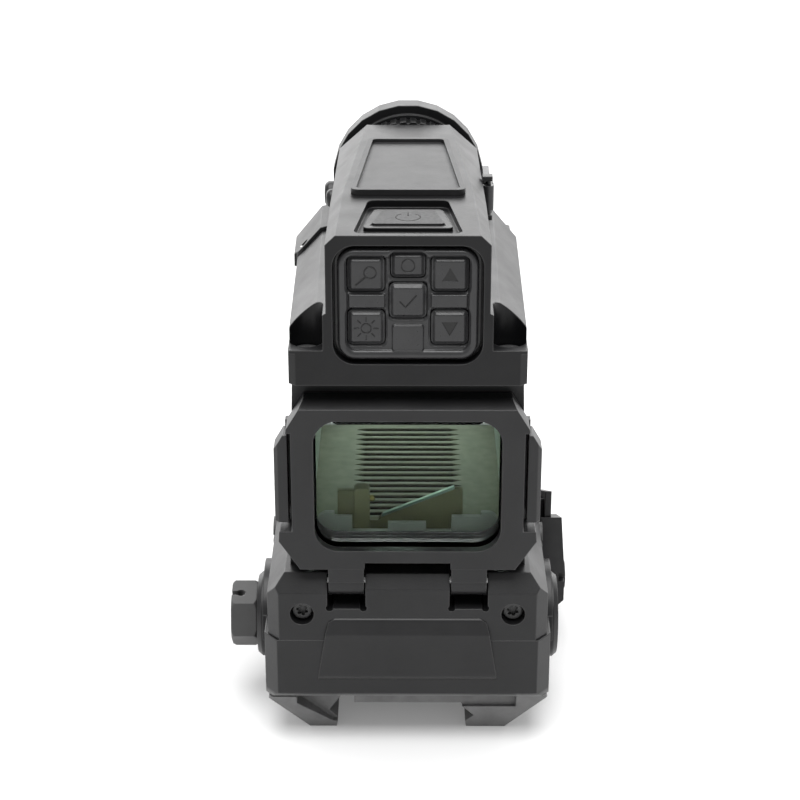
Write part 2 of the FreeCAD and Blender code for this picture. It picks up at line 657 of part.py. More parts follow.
def top_plate():
    """Cover plate on the hood with a raised rim."""
    outer = [(-8.85, 19.5), (8.85, 19.5), (6.6, 49.0), (-6.6, 49.0)]
    inner = [(-7.95, 20.4), (7.95, 20.4), (5.8, 48.1), (-5.8, 48.1)]
    body = rounded(plan_view(outer, HOOD_TOP, HOOD_TOP + 0.95), 1.2, (0, 0, 1))
    return body.cut(rounded(plan_view(inner, HOOD_TOP + 0.35, HOOD_TOP + 2), 0.8, (0, 0, 1)))


KEYS = {
    "key_zoom": (-KEY_COLUMN, KEY_ROW_TOP),
    "key_up": (KEY_COLUMN, KEY_ROW_TOP),
    "key_confirm": (0.0, KEY_ROW_MID),
    "key_brightness": (-KEY_COLUMN, KEY_ROW_LOW),
    "key_down": (KEY_COLUMN, KEY_ROW_LOW),
}


def square(x, z, half, y0, y1, corner=0.7):
    return rounded(block((x - half, x + half), (y0, y1), (z - half, z + half)),
                   corner, (0, 1, 0))


def keypad_mat():
    """Rubber mat with a rounded ridge, a sunken panel, pads and bars."""
    body = panel(KEYPAD_HALF - 0.3, KEYPAD_LOW + 0.3, KEYPAD_TOP - 0.3, 3.0, 0.15, 2.1)
    body = body.cut(panel(9.4, 61.1, 76.5, 1.8, -1, 0.8))
    blank = block((-2.5, 2.5), (0.3, 1.5), (61.0, 65.7))
    bars = [block(ends, (0.3, 1.5), (68.2, 70.2)) for ends in ((-9.5, -3.2), (3.2, 9.5))]
    body = body.fuse([rounded(blank, 0.6, (0, 1, 0))] + bars)
    for x, z in KEYS.values():
        body = body.cut(square(x, z, KEY_SIZE / 2 + 0.12, -1, 3))
    return body.cut(block((-2.62, 2.62), (-1, 3), (72.58, 76.72)))


def key(name):
    """One square key: it slides forward into the mat when pressed."""
    x, z = KEYS[name]
    half = KEY_SIZE / 2
    cap = square(x, z, half, 0.1, 2.5)
    rim = [e for e in cap.Edges if e.BoundBox.YMax < 0.11]
    return cap.makeFillet(0.3, rim)


def key_record():
    """Smaller pad above the middle key, with a round mark."""
    cap = rounded(block((-2.5, 2.5), (0.3, 2.5), (72.7, 76.6)), 0.6, (0, 1, 0))
    return cap.cut(tube(1.15, 0.9, (0, 0.2, 74.65), (0, 1, 0), 0.25))


def keypad_board():
    return block((-9.9, 9.9), (3.3, 4.3), (60.2, 74.8))


def battery_door():
    """Cap on the front left shoulder, swinging on an upright pin."""
    skin = shoulders(0.6)
    room = block((-20, -HOOD_HALF - 0.35), (DOOR_REAR + 0.3, 46), (FLANGE_TOP + 0.3, 72))
    body = skin.common(room)
    body = body.cut(block((-16.2, -10), (DOOR_REAR + 2, 44.4), (61, 65.4)))
    corner = block((-20, DOOR_PIN[0]), (35, DOOR_PIN[1]), (60, 72))
    corner = corner.cut(rod(1.2, (*DOOR_PIN, 60), (0, 0, 1), 12))
    return body.cut(corner.fuse(rod(0.6 + RUNNING, (*DOOR_PIN, 60), (0, 0, 1), 12)))


def door_pin():
    return rod(0.6, (*DOOR_PIN, FLANGE_TOP - 1.5), (0, 0, 1), 5.2)


def battery_cell():
    body = rod(5.1, (-4.6, 9.0, 64.0), (0, 1, 0), 43.2)
    return body.fuse(rod(1.9, (-4.6, 52.2, 64.0), (0, 1, 0), 0.9))


def battery_contacts():
    rear = block((-9.6, 0.4), (8.2, 9.0), (59.4, 68.6))
    front = block((-9.6, 0.4), (53.1, 53.9), (59.4, 68.6))
    return Part.makeCompound([rear, front])


def main_board():
    """Processor board of the camera, upright on the right of the cell."""
    return block((2.4, 3.8), (8, 46), (58.6, 74.0))


def camera_core():
    """Sensor block behind the objective."""
    return block((-8.0, 8.0), (46.8, 51.5), (69.6, 74.6))


def usb_port():
    return rounded(block((8.6, 12.0), (40.7, 45.3), (72.1, 74.9)), 1.2, (1, 0, 0))


def usb_cover():
    """Flap over the socket on the right, with a half-round finger pull."""
    plate = rounded(block((12.25, 13.3), (37.2, 48.4), (70.9, 76.0)), 1.6, (1, 0, 0))
    pull = rod(2.2, (12.6, 45.6, 71.4), (1, 0, 0), 1.5)
    hinge = rod(0.9, (12.95, 37.8, 71.4), (0, 0, 1), 4.1)
    body = plate.fuse([pull, hinge])
    return body.cut(rod(0.4 + RUNNING, (12.95, 37.8, 69), (0, 0, 1), 9))


def flap_pin():
    pin = rod(0.4, (12.95, 37.8, 69.8), (0, 0, 1), 7.2)
    ears = [block((HOOD_HALF, 13.6), (37.0, 38.6), (z, z + 0.8)) for z in (69.8, 76.3)]
    return pin.fuse(ears)


def side_lugs():
    """Two round lugs on the left of the hood, for a lanyard."""
    lugs = []
    for radius, out, y, z in ((2.1, 13.7, 43.0, 72.4), (1.5, 13.3, 38.6, 73.0)):
        lug = rod(radius, (-out, y, z), (1, 0, 0), out - HOOD_HALF)
        rim = [e for e in lug.Edges if e.BoundBox.XMax < -out + 0.01]
        lugs.append(lug.makeFillet(0.9, rim))
    return Part.makeCompound(lugs)


# ---- objective --------------------------------------------------------------------
def objective_barrel():
    body = rod(BARREL_RADIUS, (0, 57.0, OPTIC_Z), (0, 1, 0), 10.8)
    return body.cut(rod(8.6, (0, 56, OPTIC_Z), (0, 1, 0), 14))


def objective_lens():
    disc = rod(8.6, (0, 62.4, OPTIC_Z), (0, 1, 0), 2.4)
    ball = Part.makeSphere(30, V(0, 62.4 - 30 + 4.0, OPTIC_Z))
    front = rod(8.6, (0, 64.8, OPTIC_Z), (0, 1, 0), 3).common(ball)
    return disc.fuse(front)


def toothed_ring(outer, tooth, count, inner, y0, y1):
    """Ring whose rim carries square-cut teeth."""
    ring = rod(outer, (0, y0, OPTIC_Z), (0, 1, 0), y1 - y0)
    cutters = []
    for i in range(count):
        turn = 2 * math.pi * i / count
        x = (outer + 0.1) * math.cos(turn)
        z = OPTIC_Z + (outer + 0.1) * math.sin(turn)
        cutters.append(rod(tooth, (x, y0 - 1, z), (0, 1, 0), y1 - y0 + 2))
    ring = ring.cut(cutters[0].fuse(cutters[1:]))
    return ring.cut(rod(inner, (0, y0 - 1, OPTIC_Z), (0, 1, 0), y1 - y0 + 2))


def focus_ring():
    return toothed_ring(FOCUS_RADIUS, 0.42, 40, BARREL_RADIUS + RUNNING, 60.9, 63.7)


def bell_ring():
    """Faceted front ring that turns with the focus ring."""
    count = 24
    points = []
    for i in range(count):
        turn = 2 * math.pi * (i + 0.5) / count
        points.append((BELL_RADIUS * math.cos(turn), OPTIC_Z + BELL_RADIUS * math.sin(turn)))
    outer = rear_view(points, 64.3, 68.2)
    neck = rod(11.6, (0, 63.7, OPTIC_Z), (0, 1, 0), 1.0)
    mouth = Part.makeCone(10.6, 12.0, 2.2, V(0, 66.1, OPTIC_Z), V(0, 1, 0))
    body = outer.fuse(neck).cut(mouth)
    return body.cut(rod(BARREL_RADIUS + RUNNING, (0, 60, OPTIC_Z), (0, 1, 0), 10))


# ---- every piece, by the name of its node -------------------------------------------
PIECES = {
    "sight_base": sight_base,
    "rear_pad": rear_pad,
    "rail_jaw": rail_jaw,
    "recoil_lug": recoil_lug,
    "clamp_bolt": clamp_bolt,
    "clamp_bosses": lambda: Part.makeCompound([side_boss(-1), side_boss(1)]),
    "upper_body": upper_body,
    "hinge_pin": hinge_pin,
    "body_screws": body_screws,
    "cover_frame": cover_frame,
    "cover_window": cover_window,
    "cover_seal": cover_seal,
    "tunnel_housing": tunnel_housing,
    "latch_left": lambda: latch(-1),
    "latch_right": lambda: latch(1),
    "latch_pins": latch_pins,
    "rear_window": rear_window,
    "rear_window_seal": rear_window_seal,
    "front_lens": front_lens,
    "front_bezel": front_bezel,
    "ribbed_floor": ribbed_floor,
    "sill_plate": sill_plate,
    "emitter_post": emitter_post,
    "emitter_diode": emitter_diode,
    "mirror_block": mirror_block,
    "fold_mirror": fold_mirror,
    "dot_board": dot_board,
    "dot_cell": dot_cell,
    "elevation_screw": lambda: adjuster(-1),
    "windage_screw": lambda: adjuster(1),
    "side_pod": side_pod,
    "pod_guard": pod_guard,
    "pod_button_rear": lambda: pod_button(POD_BUTTON_Y[0]),
    "pod_button_front": lambda: pod_button(POD_BUTTON_Y[1]),
    "module_housing": module_housing,
    "module_screws": module_screws,
    "power_button": power_button,
    "top_plate": top_plate,
    "keypad_mat": keypad_mat,
    "key_record": key_record,
    "keypad_board": keypad_board,
    "battery_door": battery_door,
    "door_pin": door_pin,
    "battery_cell": battery_cell,
    "battery_contacts": battery_contacts,
    "main_board": main_board,
    "camera_core": camera_core,
    "usb_port": usb_port,
    "usb_cover": usb_cover,
    "flap_pin": flap_pin,
    "side_lugs": side_lugs,
    "objective_barrel": objective_barrel,
    "objective_lens": objective_lens,
    "focus_ring": focus_ring,
    "bell_ring": bell_ring,
}


def write(name, shape):
    shape.translate(V(0, REAR_FACE_Y, 0))
    shape.exportStep(os.path.join("parts", name + ".step"))
    print(name, "solids", len(shape.Solids), "valid", shape.isValid(),
          "volume", round(shape.Volume, 1))


def main():
    os.makedirs("parts", exist_ok=True)
    for name, make in PIECES.items():
        write(name, make())
    for name in KEYS:
        write(name, key(name))


main()
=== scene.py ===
import json
import math

import bpy
import numpy as np
from mathutils import Matrix, Vector


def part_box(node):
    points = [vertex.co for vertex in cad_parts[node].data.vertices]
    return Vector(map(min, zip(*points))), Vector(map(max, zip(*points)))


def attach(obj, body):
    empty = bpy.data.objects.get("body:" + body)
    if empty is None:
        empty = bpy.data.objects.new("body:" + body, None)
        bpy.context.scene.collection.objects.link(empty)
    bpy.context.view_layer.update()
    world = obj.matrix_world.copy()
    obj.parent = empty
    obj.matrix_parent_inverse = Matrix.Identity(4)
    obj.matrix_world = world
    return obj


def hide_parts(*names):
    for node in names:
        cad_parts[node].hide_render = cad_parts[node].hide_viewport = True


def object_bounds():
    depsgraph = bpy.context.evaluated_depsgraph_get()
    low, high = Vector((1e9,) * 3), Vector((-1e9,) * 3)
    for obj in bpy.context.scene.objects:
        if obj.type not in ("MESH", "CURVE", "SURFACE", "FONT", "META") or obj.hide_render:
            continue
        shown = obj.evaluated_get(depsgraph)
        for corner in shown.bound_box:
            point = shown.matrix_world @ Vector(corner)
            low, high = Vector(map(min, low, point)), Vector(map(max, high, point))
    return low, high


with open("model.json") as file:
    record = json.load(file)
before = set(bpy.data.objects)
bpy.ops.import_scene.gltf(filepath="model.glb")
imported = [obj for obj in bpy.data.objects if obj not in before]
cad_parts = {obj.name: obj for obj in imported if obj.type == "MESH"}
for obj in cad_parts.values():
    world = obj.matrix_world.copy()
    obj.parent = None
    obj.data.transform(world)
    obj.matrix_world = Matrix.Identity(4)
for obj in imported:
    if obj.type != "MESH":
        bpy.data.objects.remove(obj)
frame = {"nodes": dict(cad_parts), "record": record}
NODES = frame["nodes"]
CAD_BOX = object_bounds()
PARTS = {part["node"]: part["material_slot"] for part in frame["record"]["subparts"]}
BODY_OF = {node: body for body, nodes in frame["record"]["behaviour"]["bodies"].items()
           for node in nodes}
MM = 0.001


# ---- shader helpers ---------------------------------------------------------------
def linear(hex_colour):
    """sRGB hex to linear light: each channel c becomes ((c + 0.055) / 1.055) ** 2.4."""
    value = hex_colour.lstrip("#")
    channels = [int(value[i:i + 2], 16) / 255 for i in (0, 2, 4)]
    channels = [c / 12.92 if c <= 0.04045 else ((c + 0.055) / 1.055) ** 2.4 for c in channels]
    return (*channels, 1.0)


def add(tree, kind, settings=None, links=None):
    """Adds one node: settings fill its sockets or properties, and links come from other sockets."""
    node = tree.nodes.new(kind)
    for name, value in (settings or {}).items():
        if not isinstance(name, int) and hasattr(node, name):
            setattr(node, name, value)
        else:
            node.inputs[name].default_value = value
    for name, source in (links or {}).items():
        tree.links.new(source, node.inputs[name])
    return node


def new_material(name):
    """An empty material: returns it and its node tree."""
    material = bpy.data.materials.new(name)
    material.use_nodes = True
    material.node_tree.nodes.clear()
    return material, material.node_tree


def mottled(tree, size_mm, low, high, detail=3.0):
    """Noise with patches about size_mm across, stretched to run from low to high."""
    place = add(tree, "ShaderNodeTexCoord")
    noise = add(tree, "ShaderNodeTexNoise",
                {"Scale": 1.0 / (size_mm * MM), "Detail": detail, "Roughness": 0.6},
                {"Vector": place.outputs["Object"]})
    ranged = add(tree, "ShaderNodeMapRange",
                 {"From Min": 0.3, "From Max": 0.7, "To Min": low, "To Max": high},
                 {"Value": noise.outputs["Fac"]})
    return ranged.outputs["Result"]


def two_tone(tree, fraction, first, second):
    """Colour between first and second; each is an sRGB hex colour or another colour socket."""
    settings = {"data_type": "RGBA"}
    links = {0: fraction}
    for socket, colour in ((6, first), (7, second)):
        if isinstance(colour, str):
            settings[socket] = linear(colour)
        else:
            links[socket] = colour
    return add(tree, "ShaderNodeMix", settings, links).outputs[2]


def skin_relief(tree, grit_mm, depth_mm, edge_mm):
    """Grit of grit_mm and depth_mm on a surface whose sharp edges are rounded by edge_mm."""
    edge = add(tree, "ShaderNodeBevel", {"Radius": edge_mm * MM, "samples": 8})
    bump = add(tree, "ShaderNodeBump", {"Strength": 1.0, "Distance": depth_mm * MM},
               {"Height": mottled(tree, grit_mm, 0.0, 1.0, 2.0),
                "Normal": edge.outputs["Normal"]})
    return bump.outputs["Normal"]


def rubbed_edges(tree, width_mm, most):
    """How far a point is worn: 0 on a flat face, up to most on a sharp edge."""
    edge = add(tree, "ShaderNodeBevel", {"Radius": width_mm * MM, "samples": 8})
    face = add(tree, "ShaderNodeNewGeometry")
    lean = add(tree, "ShaderNodeVectorMath", {"operation": "DOT_PRODUCT"},
               {0: edge.outputs["Normal"], 1: face.outputs["Normal"]})
    worn = add(tree, "ShaderNodeMapRange",
               {"From Min": 0.99, "From Max": 0.80, "To Min": 0.0, "To Max": most},
               {"Value": lean.outputs["Value"]})
    return worn.outputs["Result"]


def surface(tree, settings, links):
    """One Principled shader, wired to the material's output."""
    shader = add(tree, "ShaderNodeBsdfPrincipled", settings, links)
    add(tree, "ShaderNodeOutputMaterial", None, {"Surface": shader.outputs["BSDF"]})


# ---- materials ----------------------------------------------------------------------
def blasted_anodised(name, dark, light, rough_low, rough_high, ior):
    """Black hard-anodised aluminium, bead blasted: near black from the front and pale at a
    low angle, with a fine even grain and slightly polished edges."""
    material, tree = new_material(name)
    cloud = mottled(tree, 9.0, 0.0, 1.0, 4.0)
    base = two_tone(tree, cloud, dark, light)
    surface(tree, {"Metallic": 0.0, "IOR": ior}, {
        "Base Color": two_tone(tree, rubbed_edges(tree, 0.3, 0.5), base, "#555555"),
        "Roughness": mottled(tree, 6.0, rough_low, rough_high),
        "Normal": skin_relief(tree, 0.3, 0.006, 0.3),
    })
    return material


def moulded_rubber(name, dark, light, roughness, grit_mm=0.005):
    """Silicone rubber from a fine-sparked mould: soft, dull, and black in the moulded signs, and in
    the deep grooves, where the black is painted shade."""
    material, tree = new_material(name)
    base = two_tone(tree, mottled(tree, 4.0, 0.0, 1.0), dark, light)
    # the sign attribute holds the moulded signs and, on the keypad mat, painted shade that blackens
    # the deep groove and wells
    sign = add(tree, "ShaderNodeAttribute", {"attribute_name": "sign"})
    surface(tree, {"Metallic": 0.0, "IOR": 1.45}, {
        "Base Color": two_tone(tree, sign.outputs["Fac"], base, "#020202"),
        "Roughness": mottled(tree, 0.6, roughness - 0.05, roughness + 0.05),
        "Normal": skin_relief(tree, 0.22, grit_mm, 0.12),
    })
    return material


def turned_metal(name, dark, light, roughness):
    """Turned or ground metal: tighter, brighter reflections than the castings around it."""
    material, tree = new_material(name)
    surface(tree, {"Metallic": 1.0}, {
        "Base Color": two_tone(tree, mottled(tree, 2.5, 0.0, 1.0), dark, light),
        "Roughness": mottled(tree, 1.5, roughness - 0.05, roughness + 0.08),
        "Normal": skin_relief(tree, 0.3, 0.006, 0.15),
    })
    return material


def moulded_plastic(name, dark, light, roughness):
    """Moulded nylon, lacquer, ink or matt anodising: even colour under a fine skin."""
    material, tree = new_material(name)
    surface(tree, {"IOR": 1.4}, {
        "Base Color": two_tone(tree, mottled(tree, 3.0, 0.0, 1.0), dark, light),
        "Roughness": mottled(tree, 4.0, roughness - 0.02, roughness + 0.02),
        "Normal": skin_relief(tree, 0.25, 0.006, 0.12),
    })
    return material


TRAP_SHADE_DEPTHS = (0.05 * MM, 0.35 * MM)   # depths at which painted shade in a groove starts and ends turning it dark


def grooved_trap(name, land, groove, top):
    """Matt light trap: pale olive lands between dark brown grooves; the dark is painted shade,
    which starts just below the top and is fully dark at their floor."""
    material, tree = new_material(name)
    place = add(tree, "ShaderNodeTexCoord")
    parts = add(tree, "ShaderNodeSeparateXYZ", None, {0: place.outputs["Object"]})
    # painted shade: each groove turns to the dark colour with depth below the top
    lit = add(tree, "ShaderNodeMapRange",
               {"From Min": top - TRAP_SHADE_DEPTHS[1], "From Max": top - TRAP_SHADE_DEPTHS[0]},
               {"Value": parts.outputs["Z"]})
    worn = two_tone(tree, mottled(tree, 2.0, 0.0, 0.25), land, groove)
    surface(tree, {"IOR": 1.4}, {
        "Base Color": two_tone(tree, lit.outputs["Result"], groove, worn),
        "Roughness": mottled(tree, 1.0, 0.55, 0.65),
        "Normal": skin_relief(tree, 0.25, 0.004, 0.1),
    })
    return material


def coated_pane(name, colour):
    """Flat glass with an anti-reflection stack: hardly any mirror image, and a faint tint."""
    material, tree = new_material(name)
    surface(tree, {"Base Color": linear(colour), "IOR": 1.12, "Transmission Weight": 1.0}, {
        "Roughness": mottled(tree, 5.0, 0.0, 0.015),
    })
    return material


# Satin black on the body, cover and clamp, and finer and a little darker on the camera module.
BODY = blasted_anodised("anodised_aluminium_blasted", "#141415", "#1b1b1c", 0.34, 0.42, 1.4)
MODULE = blasted_anodised("anodised_aluminium_fine", "#0f0f10", "#161617", 0.32, 0.40, 1.32)
# Soft dark grey keys, a duller power button, and seals that catch thin bright lines.
RUBBER = moulded_rubber("silicone_rubber_moulded", "#242425", "#2a2a2b", 0.32)
BUTTON = moulded_rubber("silicone_rubber_matt", "#1c1c1d", "#222223", 0.55)
SEAL = moulded_rubber("silicone_seal_glossy", "#050505", "#0a0a0a", 0.16, 0.0008)
# Dull grey bolt and screws, and bright pins that show only at the hinges.
STEEL = blasted_anodised("steel_phosphated_black", "#353535", "#404040", 0.42, 0.52, 1.5)
PIN = turned_metal("steel_ground_bright", "#8a8a8a", "#9b9b9b", 0.25)
# Flat dark grey pod, and coloured boards and cells that show only with a door open.
PLASTIC = moulded_plastic("nylon_glass_filled", "#1b1b1c", "#222223", 0.45)
BOARD = moulded_plastic("circuit_board_lacquered", "#0c3a1e", "#114a27", 0.3)
WRAP = moulded_plastic("cell_wrap_shrunk", "#2a323c", "#36404b", 0.25)
# Inside the tunnel: olive emitter and mirror block, pale grey sill, soft greenish mirror.
OLIVE = moulded_plastic("anodised_matt_olive", "#837b5e", "#8f8668", 0.6)
SILL = moulded_plastic("anodised_matt_sill", "#bcb6b6", "#c6c0c0", 0.5)
MIRROR = turned_metal("mirror_coating_evaporated", "#98a8a0", "#a6b6ae", 0.35)
# Black printed sign, gold emitter contact, and the blue-black sheen of the infrared lens.
INK = moulded_plastic("ink_pad_printed_black", "#040404", "#070707", 0.6)
BRASS = turned_metal("brass_gold_plated", "#8d7d4e", "#9d8c5a", 0.25)
GERMANIUM = turned_metal("germanium_polished", "#2a2c38", "#333645", 0.08)
# A nearly unseen cover pane, and the green cast of the two tunnel windows.
CLEAR = coated_pane("polycarbonate_clear_coated", "#f4f8f6")
GREEN = coated_pane("glass_green_coated", "#e2eee6")
# Pale lands and dark grooves across the tunnel floor; the grooves' dark is painted shade.
TRAP = grooved_trap("anodised_matt_light_trap", "#a39f8c", "#3d3222",
                    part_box("ribbed_floor")[1].z)

SLOT_MATERIALS = {
    "anodised_body": BODY, "anodised_light": MODULE, "steel_black": STEEL, "steel_pin": PIN,
    "rubber": RUBBER, "plastic": PLASTIC, "coated_glass": GREEN, "clear_window": CLEAR,
    "infrared_glass": GERMANIUM, "dull_black": PLASTIC, "dull_olive": OLIVE,
    "emitter_metal": BRASS, "mirror_coat": MIRROR, "circuit": BOARD, "cell_wrap": WRAP,
    "cell_steel": PIN,
}
OWN_MATERIALS = {
    "cover_seal": SEAL, "rear_window_seal": SEAL, "ribbed_floor": TRAP, "sill_plate": SILL,
    "power_button": BUTTON,
}

GREEN_LIGHT_MARGIN = 0.1 * MM             # how far the painted green light reaches past the window's outline
FEET_LIGHT_TOP = (2.6 * MM, 3.3 * MM)      # heights between which the painted light on the feet fades out


def repainted(finish, name):
    """A copy of a finish: the material, its node tree, and the place on the object by axis."""
    material = finish.copy()
    material.name = name
    tree = material.node_tree
    place = add(tree, "ShaderNodeTexCoord")
    parts = add(tree, "ShaderNodeSeparateXYZ", None, {0: place.outputs["Object"]})
    return material, tree, parts.outputs


def lay_over(tree, share, colour):
    """Lays a colour over the finish; share is 1 where it covers and 0 where it doesn't."""
    base = tree.nodes["Principled BSDF"].inputs["Base Color"]
    tree.links.new(two_tone(tree, share, base.links[0].from_socket, colour), base)


def housing_painted_green_light(finish):
    """The housing's own finish outside, and painted light inside the tunnel, between its two
    windows:
    a pale green matt colour that stands in for the green light coming through the coated windows."""
    low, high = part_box("rear_window")
    middle = (low.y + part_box("front_lens")[0].y) / 2
    material, tree, place = repainted(finish, "anodised_aluminium_painted_green_light")
    across = add(tree, "ShaderNodeMath",
                 {"operation": "COMPARE", 1: 0.0, 2: high.x + GREEN_LIGHT_MARGIN}, {0: place["X"]})
    along = add(tree, "ShaderNodeMath",
                {"operation": "COMPARE", 1: middle, 2: middle - low.y}, {0: place["Y"]})
    under = add(tree, "ShaderNodeMath",
                {"operation": "LESS_THAN", 1: high.z + GREEN_LIGHT_MARGIN}, {0: place["Z"]})
    framed = add(tree, "ShaderNodeMath", {"operation": "MULTIPLY"},
                 {0: across.outputs[0], 1: along.outputs[0]})
    inside = add(tree, "ShaderNodeMath", {"operation": "MULTIPLY"},
                 {0: framed.outputs[0], 1: under.outputs[0]})
    # painted light: pale green inside the tunnel, standing in for light through the green-coated
    # windows
    painted_green_light = two_tone(tree, mottled(tree, 6.0, 0.0, 1.0), "#c1cac3", "#c9d2cb")
    lay_over(tree, inside.outputs[0], painted_green_light)
    return material


def clamp_painted_light(finish):
    """The body's finish, with painted light on the clamp's feet, which slide along rails: a paler
    grey that stands in for light from the floor below.
    """
    material, tree, place = repainted(finish, "anodised_aluminium_painted_light_feet")
    foot = add(tree, "ShaderNodeMapRange",
               {"From Min": FEET_LIGHT_TOP[1], "From Max": FEET_LIGHT_TOP[0], "To Min": 0.0, "To Max": 0.9},
               {"Value": place["Z"]})
    # painted light: a paler grey laid over the feet, standing in for light from the floor below
    pale = two_tone(tree, mottled(tree, 3.0, 0.0, 1.0), "#626262", "#727272")
    lay_over(tree, foot.outputs["Result"], pale)
    return material


CLAMP = clamp_painted_light(BODY)
OWN_MATERIALS.update({
    "tunnel_housing": housing_painted_green_light(BODY), "sight_base": CLAMP, "rail_jaw": CLAMP,
    "flap_pin": BODY,
})


def paint(obj, material):
    """Gives an object one material."""
    obj.data.materials.clear()
    obj.data.materials.append(material)


for node, slot_name in PARTS.items():
    paint(NODES[node], OWN_MATERIALS.get(node, SLOT_MATERIALS[slot_name]))


# ---- surfaces from loops ---------------------------------------------------------------
def skin(name, loops, material, closed=False, sign=None):
    """Surface through closed loops of points, loops[i, j] being point j of loop i. Each end is
    closed by one middle point, unless the last loop joins the first."""
    count, around = loops.shape[:2]
    points = loops.reshape(-1, 3)
    i = np.arange(count if closed else count - 1)[:, None]
    j = np.arange(around)[None, :]
    after = (j + 1) % around
    below = (i + 1) % count
    quads = np.stack([i * around + j, i * around + after, below * around + after,
                      below * around + j], -1).reshape(-1, 4)
    faces = quads.tolist()
    if not closed:
        points = np.vstack([points, loops[0].mean(0), loops[-1].mean(0)])
        last = (count - 1) * around
        tip = count * around
        for here, then in zip(range(around), after[0].tolist()):
            faces.append([tip, then, here])
            faces.append([tip + 1, last + here, last + then])
    first, second, third, fourth = (points[quads[:, k]] - points.mean(0) for k in range(4))
    volume = (first * np.cross(second, third)).sum() + (first * np.cross(third, fourth)).sum()
    if volume < 0:
        faces = [face[::-1] for face in faces]
    mesh = bpy.data.meshes.new(name)
    mesh.from_pydata(points.tolist(), [], faces)
    mesh.polygons.foreach_set("use_smooth", np.ones(len(faces), bool))
    # sign holds the moulded signs and, on the keypad mat, painted shade in the deep groove and
    # wells
    if sign is not None:
        depth = mesh.attributes.new("sign", "FLOAT", "POINT")
        values = np.zeros(len(points))
        values[:sign.size] = sign.reshape(-1)
        depth.data.foreach_set("value", values)
    mesh.materials.append(material)
    obj = bpy.data.objects.new(name, mesh)
    bpy.context.scene.collection.objects.link(obj)
    return obj


def settle(piece, node, instead=True):
    """The piece rides its node's body; instead hides the node."""
    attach(piece, BODY_OF[node])
    if instead:
        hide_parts(node)


def rounded_outline(half_x, half_z, corner, around):
    """Rounded rectangle about 0, 0: four quarter circles of the corner radius joined by straight
    lines, as points evenly spaced by length along the line."""
    turn = np.linspace(0, math.pi / 2, 25)
    runs = []
    for k, (sx, sz) in enumerate(((1, 1), (-1, 1), (-1, -1), (1, -1))):
        angle = turn + k * math.pi / 2
        runs.append(np.stack([sx * (half_x - corner) + corner * np.cos(angle),
                              sz * (half_z - corner) + corner * np.sin(angle)], -1))
    line = np.vstack(runs + [runs[0][:1]])
    gone = np.r_[0, np.hypot(*np.diff(line, axis=0).T).cumsum()]
    at = np.linspace(0, gone[-1], around, endpoint=False)
    return np.stack([np.interp(at, gone, line[:, 0]), np.interp(at, gone, line[:, 1])], -1)


def box_gap(x, z, middle, half, corner):
    """Distance to a rounded rectangle, negative inside it."""
    over_x = np.abs(x - middle[0]) - half[0] + corner
    over_z = np.abs(z - middle[1]) - half[1] + corner
    outer = np.hypot(np.maximum(over_x, 0), np.maximum(over_z, 0))
    return outer + np.minimum(np.maximum(over_x, over_z), 0) - corner


def rise(gap, width):
    """1 well inside an outline and 0 outside it, eased over the width: 3 t^2 - 2 t^3."""
    t = np.clip(-gap / width, 0, 1)
    return t * t * (3 - 2 * t)


def line_gap(x, z, start, end, half):
    """Distance to a bar of half width half between two points, negative inside it."""
    run = np.subtract(end, start)
    t = np.clip(((x - start[0]) * run[0] + (z - start[1]) * run[1]) / (run @ run), 0, 1)
    return np.hypot(x - start[0] - t * run[0], z - start[1] - t * run[1]) - half


def ring_gap(x, z, middle, radius, half):
    """Distance to a ring of half width half."""
    return np.abs(np.hypot(x - middle[0], z - middle[1]) - radius) - half


def triangle_gap(x, z, half, low, high):
    """Distance to a triangle with a level base at low and its tip at high."""
    side = math.copysign(1, high - low)
    slope = np.hypot(half, high - low)
    lean = (np.abs(x) * abs(high - low) + side * (z - high) * half) / slope
    return np.maximum(lean, side * (low - z))


# ---- signs moulded into the keys (u to the right, v up, millimetres) -----------------------
def magnifier(u, v):
    """Ring with a handle down to the left."""
    return np.minimum(ring_gap(u, v, (0.6, 0.35), 0.88, 0.14),
                      line_gap(u, v, (-0.05, -0.3), (-1.45, -1.5), 0.18))


def up_arrow(u, v):
    """Solid triangle, tip up."""
    return triangle_gap(u, v, 1.25, -1.0, 1.25)


def down_arrow(u, v):
    """Solid triangle, tip down."""
    return triangle_gap(u, v, 1.25, 1.0, -1.25)


def tick(u, v):
    """Tick of two bars."""
    return np.minimum(line_gap(u, v, (-1.15, 0.0), (-0.35, -0.85), 0.15),
                      line_gap(u, v, (-0.35, -0.85), (1.2, 0.95), 0.15))


def sun(u, v):
    """Ring with eight short rays."""
    gap = ring_gap(u, v, (0, 0), 0.72, 0.14)
    for k in range(8):
        way = np.array([math.cos(k * math.pi / 4), math.sin(k * math.pi / 4)])
        gap = np.minimum(gap, line_gap(u, v, way * 1.12, way * 1.75, 0.13))
    return gap


def dot_ring(u, v):
    """Plain ring."""
    return ring_gap(u, v, (0, 0), 0.95, 0.13)


SIGNS = {
    "key_zoom": magnifier, "key_up": up_arrow, "key_confirm": tick,
    "key_brightness": sun, "key_down": down_arrow, "key_record": dot_ring,
}


KEY_CORNER = 0.8 * MM
KEY_SETBACK = 0.2 * MM               # from the node's rear face to the key's front
KEY_SHOULDER = (0.6 * MM, 0.8 * MM)  # fall towards the outline, and the width it takes
KEY_SIDE = 0.9 * MM                  # where the straight sides start
SIGN_DEPTH = 0.09 * MM
SIGN_EASE = 0.1                      # millimetres, as the signs are


def middle_and_half(low, high):
    """Middle and half size of a box, seen along Y."""
    middle = ((low.x + high.x) / 2, (low.z + high.z) / 2)
    half = ((high.x - low.x) / 2, (high.z - low.z) / 2)
    return middle, half


